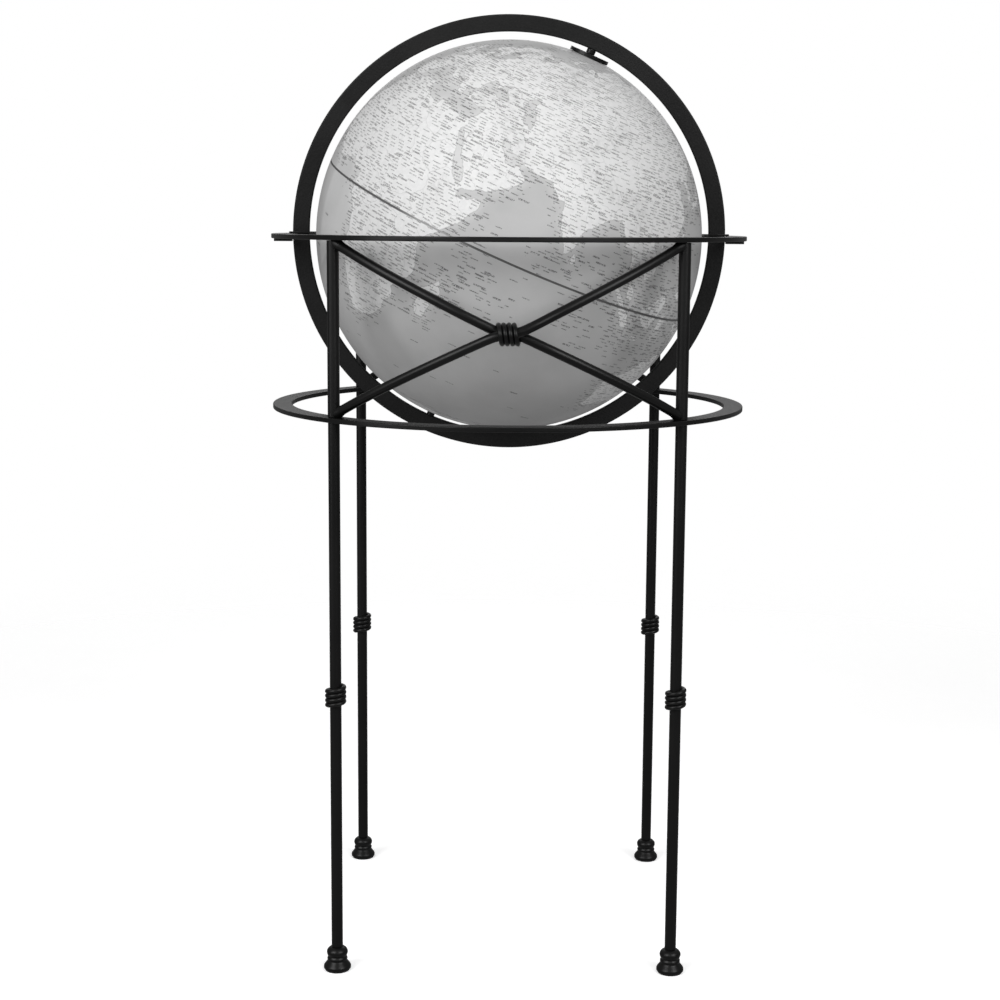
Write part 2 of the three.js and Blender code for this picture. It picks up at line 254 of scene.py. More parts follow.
def print_rows(paint, latitude, longitude, density, height, word, shift):
    """Rows of tiny unreadable marks along the parallels: 1 where there is ink. Angles are in degrees."""
    rows = paint.plus(paint.calc("DIVIDE", latitude, height), shift)
    row = paint.calc("FLOOR", rows)
    middle = paint.times(paint.calc("SUBTRACT", row, shift - 0.5), height * DEGREE)
    offset = paint.dice(paint.vector(row, shift, 7))[0]
    arc = paint.times(longitude, paint.calc("COSINE", middle))
    arc = paint.calc("MULTIPLY_ADD", offset, word * 3, arc)
    cells = paint.calc("DIVIDE", arc, word)
    cell = paint.calc("FLOOR", cells)
    along = paint.calc("FRACT", cells)
    luck, start, length, lift = paint.dice(paint.vector(cell, row, shift))
    shown = paint.calc("LESS_THAN", luck, density)
    first = paint.times(start, WORD_START)
    last = paint.calc("MULTIPLY_ADD", length, WORD_SPREAD, paint.plus(first, WORD_SHORTEST))
    begun = paint.calc("GREATER_THAN", along, first)
    unfinished = paint.calc("LESS_THAN", along, last)
    word_ink = paint.times(shown, paint.times(begun, unfinished))
    across = paint.calc("MULTIPLY_ADD", lift, LINE_DROP, paint.calc("FRACT", rows))
    line_ink = paint.calc("COMPARE", across, LINE_MIDDLE, LINE_HALF)
    letter = paint.calc("FLOOR", paint.calc("DIVIDE", arc, LETTER))
    part = paint.calc("FLOOR", paint.times(across, LETTER_ROWS))
    stroke = paint.calc("GREATER_THAN", paint.dice(paint.vector(letter, part, row))[0], LETTER_GAPS)
    return paint.times(word_ink, paint.times(line_ink, stroke))


def enclosed_seas(paint, latitude, longitude):
    """Extra lightness of the seas between Africa, Europe and Arabia, printed paler than the oceans."""
    inland = paint.calc("MULTIPLY_ADD", longitude, -0.85, latitude)
    paler = paint.ramp(inland, -25, -23, 0, 0.08)
    paler = paint.times(paler, paint.ramp(longitude, -8, -5))
    return paint.times(paler, paint.ramp(latitude, 47.5, 50, 1, 0))


def sea_tone(paint, unit, coast, latitude, longitude):
    """Slow changes of depth, a paler shelf along the coasts, and the paler enclosed seas."""
    depths = paint.ramp(paint.noise(unit, 3.2, 5), 0.3, 0.7, -0.03, 0.03)
    shelf = paint.ramp(coast, -2.5, 0, 0, 0.05)
    tone = paint.plus(paint.plus(OCEAN_TONE, depths), shelf)
    return paint.plus(tone, enclosed_seas(paint, latitude, longitude))


def borders(paint, unit):
    """Thin lines between invented countries: how much they darken the land."""
    swirl = paint.add("TexNoise", {"Vector": unit, "Scale": 9, "Detail": 6}).outputs["Color"]
    shift = {0: swirl, 1: (0.09, 0.09, 0.09), 2: unit}
    bent = paint.add("VectorMath", shift, operation="MULTIPLY_ADD").outputs[0]
    cells = paint.add("TexVoronoi", {"Vector": bent, "Scale": 7}, feature="DISTANCE_TO_EDGE")
    return paint.ramp(cells.outputs["Distance"], 0.004, 0.013, 0.22, 0)


def equator_line(paint, latitude, longitude):
    """The dark equator, with a painted highlight that makes it pale near 41 degrees east: its tone on the line, 1
    or more elsewhere.
    """
    # painted highlight: the equator line is paler within a few degrees of 41 degrees east
    glint_distance = paint.calc("ABSOLUTE", paint.calc("SUBTRACT", longitude, 41))
    line_tone = paint.ramp(glint_distance, 2, 13, 0.42, 0.12)
    beside = paint.ramp(paint.calc("ABSOLUTE", latitude), 0.28, 0.42, 0, 1)
    return paint.plus(line_tone, beside)


def printed_map():
    """Matt grey map paper under a thin varnish: land, sea, shaded relief, borders, fine print, equator."""
    paint = Paint("printed_map", Specular_IOR_Level=0.3)
    point = paint.attribute("map_point", "Vector")
    unit = paint.add("VectorMath", {0: point}, operation="NORMALIZE").outputs[0]
    parts = paint.add("SeparateXYZ", {0: unit}).outputs
    latitude = paint.calc("DEGREES", paint.calc("ARCSINE", parts[2]))
    longitude = paint.calc("DEGREES", paint.calc("ARCTAN2", parts[1], parts[0]))

    ragged = paint.calc("SUBTRACT", paint.noise(unit, 26, 9, 0.62), 0.5)
    coast = paint.calc("MULTIPLY_ADD", ragged, 2.2, paint.attribute("coast"))
    land = paint.ramp(coast, -0.05, 0.05)

    relief = paint.attribute("relief")
    crumple = paint.noise(unit, 48, 8, 0.66)
    ranges = paint.times(relief, paint.ramp(crumple, 0.42, 0.62))
    folds = paint.ramp(crumple, 0.3, 0.7, -0.035, 0.035)
    land_tone = paint.calc("MULTIPLY_ADD", ranges, -0.16, paint.plus(LAND_TONE, folds))
    tone = paint.mix(land, sea_tone(paint, unit, coast, latitude, longitude), land_tone)
    shore = paint.ramp(paint.calc("ABSOLUTE", coast), 0.06, 0.2, 0.76, 1)
    tone = paint.times(tone, shore)
    border = paint.times(land, borders(paint, unit))
    tone = paint.times(tone, paint.calc("SUBTRACT", 1, border))

    density = paint.attribute("print")
    sparse = paint.times(density, 0.4)
    small = print_rows(paint, latitude, longitude, density, height=0.82, word=3.5, shift=0)
    large = print_rows(paint, latitude, longitude, sparse, height=1.3, word=5.2, shift=0.37)
    ink = paint.times(paint.calc("MAXIMUM", small, large), paint.mix(land, -0.7, -0.63))
    tone = paint.times(tone, paint.plus(ink, 1))

    tone = paint.calc("MINIMUM", tone, equator_line(paint, latitude, longitude))
    paint.set("Base Color", tone)
    paint.set("Roughness", paint.ramp(paint.noise(unit, 60, 3), 0.3, 0.7, 0.42, 0.5))
    height = paint.times(paint.times(land, relief), crumple)
    paint.bump(height, 0.35, 0.0012)
    return paint.material


PAINTS = {
    "stand_metal": painted_metal(),
    "cast_meridian": cast_metal(),
    "map_paper": printed_map(),
    "steel": bright_steel(),
    "inner_plastic": speckled(
        "moulded_plastic", 0.4, (1100, 2), (0.018, 0.026), (0.48, 0.62), (0.25, 0.0002)
    ),
    "pad_rubber": speckled(
        "pad_rubber", 0.2, (700, 5, 0.7), (0.012, 0.024), (0.8, 0.95), (0.5, 0.0004)
    ),
}


# ---- mesh making ----
def circle(count):
    return [(math.cos(TURN * k / count), math.sin(TURN * k / count)) for k in range(count)]


def skin(rings, closed=False):
    """Faces from each ring of points to the next. A ring is a full round or a single point."""
    sides = max(len(ring) for ring in rings)
    verts, rows, faces = [], [], []
    for ring in rings:
        rows.append([len(verts) + k % len(ring) for k in range(sides)])
        verts += ring
    for low, high in zip(rows, rows[1:] + (rows[:1] if closed else [])):
        for k in range(sides):
            n = (k + 1) % sides
            face = list(dict.fromkeys((low[k], low[n], high[n], high[k])))
            if len(face) > 2:
                faces.append(face)
    return verts, faces


def lathe(outline, segments=96, closed=False):
    """Turns (radius, height) points about +Z. The solid lies to the left of the outline."""
    rings = []
    for radius, height in outline:
        rings.append([(radius * x, radius * y, height) for x, y in circle(segments if radius else 1)])
    return skin(rings, closed)


def arc_points(centre, start, end, steps):
    """Points from start to end round centre, by the shorter way."""
    first = math.atan2(start.y - centre.y, start.x - centre.x)
    last = math.atan2(end.y - centre.y, end.x - centre.x)
    sweep = (last - first + math.pi) % TURN - math.pi
    radius = (start - centre).length
    angles = [first + sweep * k / steps for k in range(steps + 1)]
    return [centre + radius * Vector((math.cos(a), math.sin(a))) for a in angles]


def rounded(corners, radius, steps=5):
    """A closed outline with its corners turned into arcs, and a close point on each side of an arc."""
    points = [Vector(c) for c in corners]
    outline = []
    for i, here in enumerate(points):
        back = (points[i - 1] - here).normalized()
        ahead = (points[(i + 1) % len(points)] - here).normalized()
        half = back.angle(ahead) / 2
        reach = radius / math.tan(half)
        centre = here + (back + ahead).normalized() * radius / math.sin(half)
        outline.append(here + back * reach * 1.3)
        outline += arc_points(centre, here + back * reach, here + ahead * reach, steps)
        outline.append(here + ahead * reach * 1.3)
    return [tuple(p) for p in outline]


def softened(corners, radius, steps=4):
    """The same for an open outline that starts and ends on the axis."""
    closed = rounded(corners, radius, steps)
    each = steps + 3
    return [corners[0]] + closed[each:-each] + [corners[-1]]


def band(inner, outer, thick, radius, segments):
    half = thick / 2
    corners = [(inner, -half), (outer, -half), (outer, half), (inner, half)]
    return lathe(rounded(corners, radius), segments, closed=True)


def tube(path, radii, sides):
    """A round bar along a path, with its radius at each point. A radius of 0 closes an end."""
    points = [Vector(p) for p in path]
    rings = []
    normal = tangent = None
    for i, (here, radius) in enumerate(zip(points, radii)):
        step = (points[min(i + 1, len(points) - 1)] - points[max(i - 1, 0)]).normalized()
        if normal is None:
            normal = step.orthogonal().normalized()
        else:
            normal = tangent.rotation_difference(step) @ normal
            normal = (normal - step * normal.dot(step)).normalized()
        tangent = step
        side = step.cross(normal)
        rounds = circle(sides if radius else 1)
        rings.append([tuple(here + radius * (x * normal + y * side)) for x, y in rounds])
    return skin(rings)


def domed(path, radius, steps=6):
    """The path and radii of a bar whose ends are half balls."""
    points = [Vector(p) for p in path]
    start = (points[0] - points[1]).normalized()
    end = (points[-1] - points[-2]).normalized()
    angles = [math.pi / 2 * k / steps for k in range(1, steps + 1)]
    before = [points[0] + start * radius * math.sin(a) for a in reversed(angles)]
    after = [points[-1] + end * radius * math.sin(a) for a in angles]
    caps = [radius * max(math.cos(a), 0.0) for a in angles]
    caps[-1] = 0.0
    return before + points + after, caps[::-1] + [radius] * len(points) + caps


def moved(shape, matrix):
    verts, faces = shape
    return [tuple(matrix @ Vector(v)) for v in verts], faces


def prism(outline, low, high):
    """A slab of the (x, y) outline, listed anticlockwise."""
    count = len(outline)
    verts = [(x, y, low) for x, y in outline] + [(x, y, high) for x, y in outline]
    faces = [list(range(count))[::-1], list(range(count, 2 * count))]
    for k in range(count):
        n = (k + 1) % count
        faces.append([k, n, n + count, k + count])
    return verts, faces


def drill(radius, low, high, segments=32):
    return lathe([(0, low), (radius, low), (radius, high), (0, high)], segments)


def strip(x0, x1, half):
    return [(x0, -half), (x1, -half), (x1, half), (x0, half)]


def add_object(name, data):
    made = bpy.data.objects.new(name, data)
    bpy.context.scene.collection.objects.link(made)
    return made


def bare_object(name, shape):
    verts, faces = shape
    mesh = bpy.data.meshes.new(name)
    mesh.from_pydata([tuple(c * MM for c in v) for v in verts], [], faces)
    mesh.update()
    return add_object(name, mesh)


def apply_modifiers(piece):
    graph = bpy.context.evaluated_depsgraph_get()
    mesh = bpy.data.meshes.new_from_object(piece.evaluated_get(graph))
    piece.modifiers.clear()
    piece.data = mesh


def cut(piece, tools):
    """Takes the tools' shapes out of the piece."""
    for shape in tools:
        tool = bare_object("cutter", shape)
        modifier = piece.modifiers.new("cut", "BOOLEAN")
        modifier.operation = "DIFFERENCE"
        modifier.solver = "EXACT"
        modifier.object = tool
        apply_modifiers(piece)
        bpy.data.objects.remove(tool)


def bevel(piece, width):
    modifier = piece.modifiers.new("edges", "BEVEL")
    modifier.width = width * MM
    modifier.segments = 3
    modifier.limit_method = "ANGLE"
    modifier.angle_limit = math.radians(30)
    modifier.use_clamp_overlap = True
    apply_modifiers(piece)


SHARP_ANGLE = math.radians(35)


def start_piece(node, shape):
    """The bare piece that takes a CAD node's place."""
    return bare_object(node + "_finished", shape)


def finish_piece(piece, body="stand", slot="stand_metal"):
    piece.data.materials.clear()
    piece.data.materials.append(PAINTS[slot])
    piece.data.shade_smooth()
    piece.data.set_sharp_from_angle(angle=SHARP_ANGLE)
    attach(piece, body)
    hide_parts(piece.name.removesuffix("_finished"))


def whole_piece(node, shape, body="stand", slot="stand_metal"):
    finish_piece(start_piece(node, shape), body, slot)


def at_leg(x, y, height=0):
    return Matrix.Translation((x * LEG_OFFSET, y * LEG_OFFSET, height))


def at_each_leg(*parts, height=0):
    """Puts a copy of each part at every leg. A part is its node, its shape and perhaps its slot."""
    for corner, (x, y) in CORNERS.items():
        for node, shape, *slot in parts:
            whole_piece(node + "_" + corner, moved(shape, at_leg(x, y, height)), "stand", *slot)


# ---- flat rings ----
EDGE = 0.9
RING_SEGMENTS = 288
SCREW_SHANK = 2
SCREW_HEAD = 4
SCREW_TOP = FACE - 0.05
SCREW_PLAY = 0.3
RECESS_HALF = 2.3
RECESS_SIDE = 0.45
NOTCH_OUTER = 232.8
NOTCH_HALF = 5.4
PAST = 1  # how far a cutter reaches beyond the face it cuts


def countersink():
    hole = SCREW_SHANK + SCREW_PLAY
    head = SCREW_HEAD + SCREW_PLAY
    outline = [(0, -FACE - PAST), (hole, -FACE - PAST), (hole, FACE - 2.6)]
    outline += [(head, FACE - 0.5), (head, FACE + PAST), (0, FACE + PAST)]
    return lathe(outline, 32)


def horizon_ring():
    """The flat ring, notched for the lugs of the pivot brackets and countersunk over the posts."""
    shape = moved(band(RING_INNER, RING_OUTER, 2 * FACE, EDGE, RING_SEGMENTS), STAND_FRAME)
    piece = start_piece("horizon_ring", shape)
    notch = strip(RING_INNER - 2 * PAST, NOTCH_OUTER, NOTCH_HALF)
    tools = [
        moved(prism(notch, -FACE - PAST, FACE + PAST), STAND_FRAME @ turned(turn, "Z"))
        for turn in (0, TURN / 2)
    ]
    tools += [moved(countersink(), at_leg(x, y, CENTRE)) for x, y in CORNERS.values()]
    cut(piece, tools)
    finish_piece(piece)


def lower_ring():
    shape = band(RING_INNER, RING_OUTER, DROP_HIGH.z - DROP_LOW.z, EDGE, RING_SEGMENTS)
    whole_piece("lower_ring", moved(shape, raised(LOWER_RING)))


def ring_screws():
    """Countersunk screws, flush in the horizon ring, with a cross recess."""
    outline = [(0, -20), (SCREW_SHANK, -19), (SCREW_SHANK, SCREW_TOP - 2.4)]
    outline += [(SCREW_HEAD, SCREW_TOP - 0.4), (SCREW_HEAD, SCREW_TOP - 0.1)]
    outline += [(SCREW_HEAD - 0.15, SCREW_TOP), (0, SCREW_TOP)]
    slots = [strip(-RECESS_HALF, RECESS_HALF, RECESS_SIDE), strip(-RECESS_SIDE, RECESS_SIDE, RECESS_HALF)]
    for corner, (x, y) in CORNERS.items():
        place = at_leg(x, y, CENTRE) @ turned(0.6 * x + y, "Z")
        piece = start_piece("ring_screw_" + corner, moved(lathe(outline, 40), place))
        cut(piece, [moved(prism(slot, SCREW_TOP - 1.1, SCREW_TOP + PAST), place) for slot in slots])
        finish_piece(piece)


# ---- legs ----
def rod(radius, low, high, edge=0.5, segments=40):
    return lathe(softened([(0, low), (radius, low), (radius, high), (0, high)], edge), segments)


def legs():
    post = rod(POST_RADIUS, POST_LOW.z, POST_HIGH.z)
    leg = rod(LEG_RADIUS, LEG_LOW.z, LEG_HIGH.z)
    at_each_leg(("upper_post", post), ("lower_leg", leg))


# radius, height: from the floor edge up to the leg
FOOT_CURVE = [
    (13.2, 1.8), (13.7, 2), (13.9, 2.6), (13.9, 4.2), (13.7, 5.1), (13, 6.2), (12, 7.5),
    (11, 8.8), (10.2, 9.9), (9.9, 10.6), (10.1, 11.3), (10.3, 12.1), (10.25, 13.1), (9.8, 14.1),
    (9.4, 14.8), (9.5, 15.4), (10.1, 16.4), (10.6, 17.7), (10.8, 19.1), (10.6, 20.6), (9.9, 22),
    (8.7, 23.3), (7.3, 24.2), (6.2, 24.6),
]


def between(p, q, r, s, t):
    """The Catmull-Rom curve's value at share t of the way from q to r."""
    square = (2 * p - 5 * q + 4 * r - s) * t * t
    cube = (3 * q - p - 3 * r + s) * t**3
    return 0.5 * (2 * q + (r - p) * t + square + cube)


def smooth_curve(points, steps=4):
    """More points on a smooth curve through the given ones."""
    out = []
    padded = [points[0]] + list(points) + [points[-1]]
    for four in zip(padded, padded[1:], padded[2:], padded[3:]):
        for k in range(steps):
            out.append(tuple(between(*values, k / steps) for values in zip(*four)))
    return out + [points[-1]]


def feet():
    """Turned feet with a spigot up into the leg, each on a thin pad."""
    spigot = 3
    outline = [(0, FOOT_LOW.z)] + smooth_curve(FOOT_CURVE)
    outline += [(spigot, FOOT_CURVE[-1][1]), (spigot, FOOT_HIGH.z), (0, FOOT_HIGH.z)]
    foot = lathe(outline, 64)
    pad = rod((PAD_HIGH.x - PAD_LOW.x) / 2, 0, PAD_HIGH.z, edge=0.3, segments=56)
    at_each_leg(("foot", foot), ("foot_pad", pad, "pad_rubber"))


# ---- bound coils ----
COIL_WIRE = 2.35
COIL_TURNS = 4
COIL_STEPS = 40


def coil(half_x, half_y, pitch, front_share):
    """A hand-wound helix about +Z. Its strands climb less on the side at -Y than on the other."""
    even = (0.5 - front_share) / 2
    path = []
    for k in range(COIL_TURNS * COIL_STEPS + 1):
        turn = k / COIL_STEPS
        angle = math.pi / 2 + TURN * turn
        height = pitch * (turn - COIL_TURNS / 2 + even * math.cos(angle))
        path.append((half_x * math.cos(angle), half_y * math.sin(angle), height))
    return tube(*domed(path, COIL_WIRE), sides=20)


def leg_collars():
    middle = LEG_RADIUS + COIL_WIRE + 0.25
    collar = coil(middle, middle, pitch=4.7, front_share=0.22)
    at_each_leg(("leg_collar", collar), height=(COLLAR_LOW.z + COLLAR_HIGH.z) / 2)


# ---- crossed brace rods ----
BRACE_RADIUS = 240
ROD_RADIUS = 4.75
ROD_END = 43.1  # degrees round from the front, at the posts
ROD_SWELL = 0.35
# heights above the ball's centre, at the crossing and at the posts
ROD_HIGH = (-92.5, -7.6)
ROD_LOW = (-84, -168.5)
CROSS_HALF = 2.6
CROSS_BUMP = 12
CROSS_SPREAD = 2
BINDING_HALF = 8.9


def smoothstep(value, low, high):
    t = min(max((value - low) / (high - low), 0.0), 1.0)
    return t * t * (3 - 2 * t)


def rod_point(angle, rise):
    """A point on a rod's middle line, angle degrees round from the front."""
    share = abs(angle) / ROD_END
    high = ROD_HIGH[0] + (ROD_HIGH[1] - ROD_HIGH[0]) * (share + 0.1 * share * (1 - share))
    low = ROD_LOW[0] + (ROD_LOW[1] - ROD_LOW[0]) * share
    half = math.hypot(max(high - low, 0) / 2, CROSS_SPREAD)
    side = 2 * smoothstep(rise * angle, -CROSS_HALF, CROSS_HALF) - 1
    near = 1 - smoothstep(abs(angle), CROSS_HALF, CROSS_BUMP)
    radius = BRACE_RADIUS + rise * (ROD_RADIUS + 0.15) * near
    turn = math.radians(angle)
    height = CENTRE + (high + low) / 2 + half * side
    return Vector((radius * math.sin(turn), -radius * math.cos(turn), height))


def brace_rod(rise):
    """A rod that swells into its post at each end, like a welded joint."""
    steps = 120
    last = ROD_END + 1.3
    path = [rod_point(last * (2 * k / steps - 1), rise) for k in range(steps + 1)]
    path, radii = domed(path, ROD_RADIUS)
    ends = (path[0], path[-1])
    swell = []
    for point, radius in zip(path, radii):
        away = min((point - end).length for end in ends)
        swell.append(radius * (1 + ROD_SWELL * (1 - smoothstep(away, 5, 15))))
    return tube(path, swell, sides=28)


def braces():
    height = CENTRE + (ROD_HIGH[0] + ROD_LOW[0]) / 2
    wound = coil(BINDING_HALF, 2 * ROD_RADIUS + COIL_WIRE + 1.2, pitch=4.9, front_share=0.25)
    lie = Matrix.Translation((0, -BRACE_RADIUS, height)) @ turned(TURN / 4, "Y")
    for end, turn in (("front", 0), ("rear", TURN / 2)):
        place = turned(turn, "Z")
        whole_piece("brace_rod_rising_" + end, moved(brace_rod(1), place))
        whole_piece("brace_rod_falling_" + end, moved(brace_rod(-1), place))
        whole_piece("brace_binding_" + end, moved(wound, place @ lie))


# ---- side pivots ----
# OUTER and INNER are distances along the swing axis from the ball's centre; LOW and TOP are heights
# above it; HALF is half a width.
BRACKET_TOP = -FACE - 0.3
BRACKET_LOW = BRACKET_TOP - 3.2
BRACKET_OUTER = 248.6
BRACKET_HALF = 5
BRACKET_SCREWS = (238, 244.5)
LUG_INNER = 229.6
LUG_OUTER = 232.4
LUG_TOP = 4.4
CLIP_LOW = 2.9
CLIP_INNER = 205
CLIP_OUTER = 229.1
CLIP_HALF = 9
CLIP_SLOT_INNER = 210.4
CLIP_SLOT_HALF = 4.3


def pivots():
    for name, turn in (("left", TURN / 2), ("right", 0)):
        place = STAND_FRAME @ turned(turn, "Z")
        bracket(name, place)
        clip(name, place)


def bracket(name, place):
    """An L of flat bar: its foot is screwed under the ring, its lug holds the pin."""
    outline = [(LUG_INNER, BRACKET_LOW), (BRACKET_OUTER, BRACKET_LOW), (BRACKET_OUTER, BRACKET_TOP)]
    outline += [(LUG_OUTER, BRACKET_TOP), (LUG_OUTER, LUG_TOP), (LUG_INNER, LUG_TOP)]
    upright = turned(TURN / 4, "X")
    shape = moved(prism(outline, -BRACKET_HALF, BRACKET_HALF), place @ upright)
    piece = start_piece("pivot_bracket_" + name, shape)
    bevel(piece, 0.5)
    sink = [(0, BRACKET_LOW - 0.8), (3, BRACKET_LOW - 0.8), (3, BRACKET_LOW)]
    sink += [(1.8, BRACKET_TOP - 1.5), (1.8, BRACKET_TOP + PAST), (0, BRACKET_TOP + PAST)]
    tools = [moved(lathe(sink, 24), place @ Matrix.Translation((x, 0, 0))) for x in BRACKET_SCREWS]
    bore = drill(2.3, LUG_INNER - 0.6, LUG_OUTER + 0.6, segments=24)
    tools.append(moved(bore, place @ turned(TURN / 4, "Y")))
    cut(piece, tools)
    finish_piece(piece)


def clip(name, place):
    """A thin plate that straddles the meridian just above the pivot, level at rest."""
    outline = [(CLIP_INNER, -CLIP_HALF), (CLIP_OUTER, -CLIP_HALF), (CLIP_OUTER, -CLIP_SLOT_HALF)]
    outline += [(CLIP_SLOT_INNER, -CLIP_SLOT_HALF), (CLIP_SLOT_INNER, CLIP_SLOT_HALF)]
    outline += [(CLIP_OUTER, CLIP_SLOT_HALF), (CLIP_OUTER, CLIP_HALF), (CLIP_INNER, CLIP_HALF)]
    piece = start_piece("swing_clip_" + name, moved(prism(outline, CLIP_LOW, LUG_TOP), place))
    bevel(piece, 0.35)
    finish_piece(piece, "meridian")


# ---- meridian and polar axis ----
def meridian_ring():
    upright = turned(TURN / 4, "X")
    ring = band(MERIDIAN_INNER, MERIDIAN_OUTER, MERIDIAN_THICK, MERIDIAN_EDGE, 320)
    piece = start_piece("meridian_ring", moved(ring, MERIDIAN_FRAME @ upright))
    along = turned(TURN / 4, "Y")
    swing_drill = drill(radius=2.06, low=220, high=230)
    pole_drill = drill(PIN_HOLE, low=209, high=224.5)
    flips = (Matrix.Identity(4), turned(TURN / 2, "Y"))
    drills = [moved(swing_drill, MERIDIAN_FRAME @ flip @ along) for flip in flips]
    drills += [moved(pole_drill, POLAR_FRAME @ flip) for flip in flips]
    cut(piece, drills)
    finish_piece(piece, "meridian", "cast_meridian")


def bush(inner, outer, low, high, edge):
    corners = [(inner, low), (outer, low), (outer, high), (inner, high)]
    return lathe(rounded(corners, edge, 4), 48, closed=True)


DISC_LOW = BALL_RADIUS + 0.3
DISC_HIGH = DISC_LOW + 2.8
DISC_RADIUS = 21
BUSH_RADIUS = 7
BUSH_LOW = 195.5


def polar_axis():
    """At each pole a spacer under the meridian and a bush in the ball, and the disc at the north pole."""
    stem_high = MERIDIAN_INNER - 0.05
    flip = turned(TURN / 2, "X")
    for pole, place, width, low in (
        ("north", POLAR_FRAME, 4.7, DISC_HIGH + 0.12),
        ("south", POLAR_FRAME @ flip, 4.2, DISC_LOW),
    ):
        spacer = bush(PIN_HOLE, width, low, stem_high, 0.4)
        whole_piece("pole_spacer_" + pole, moved(spacer, place), "meridian")
        lining = bush(PIN_RADIUS + 0.075, BUSH_RADIUS, BUSH_LOW, BALL_RADIUS - 0.2, 0.3)
        whole_piece("pole_bush_" + pole, moved(lining, place), "ball", "inner_plastic")
    pole_disc()


def pole_disc():
    """A round black plate, flat on top, whose underside follows the ball."""
    corners = [(PIN_HOLE, DISC_LOW + 0.1), (12, DISC_LOW - 0.2), (DISC_RADIUS, DISC_LOW - 0.9)]
    corners += [(DISC_RADIUS, DISC_HIGH), (PIN_HOLE, DISC_HIGH)]
    shape = lathe(rounded(corners, 0.18, 3), 120, closed=True)
    whole_piece("pole_disc", moved(shape, POLAR_FRAME), "ball")


# ---- map outlines: longitude and latitude in degrees, written from general knowledge ----
AFRICA = [
    (-6, 36), (-2, 35), (3, 37), (10, 37), (11, 34), (15, 32), (20, 31), (20, 33), (25, 32), (32, 31),
    (32.5, 30), (34, 27), (36, 23), (37.5, 19), (39.5, 15.5), (43, 12.5), (44, 10.5), (51, 12), (50.5, 9),
    (47.5, 4), (43.5, 0), (40.5, -3), (39, -6), (40.5, -11), (40.5, -15), (37, -18), (35, -20), (35.5, -24),
    (33, -26), (32.5, -28.5), (30.5, -31), (27.5, -33.3), (22, -34.2), (18.5, -34.2), (18, -32),
    (16.5, -28.5), (14.5, -22.5), (12, -18), (13.5, -12.5), (12.5, -6), (9.5, -2.5), (9.5, 1.5), (9.5, 4),
    (6, 4.3), (3, 6.3), (-2, 5), (-7.5, 4.4), (-12, 7.5), (-13.5, 9.5), (-16.7, 12.5), (-17.4, 14.7),
    (-16.2, 19), (-17, 21), (-14, 26), (-10, 29.5), (-9.5, 32),
]
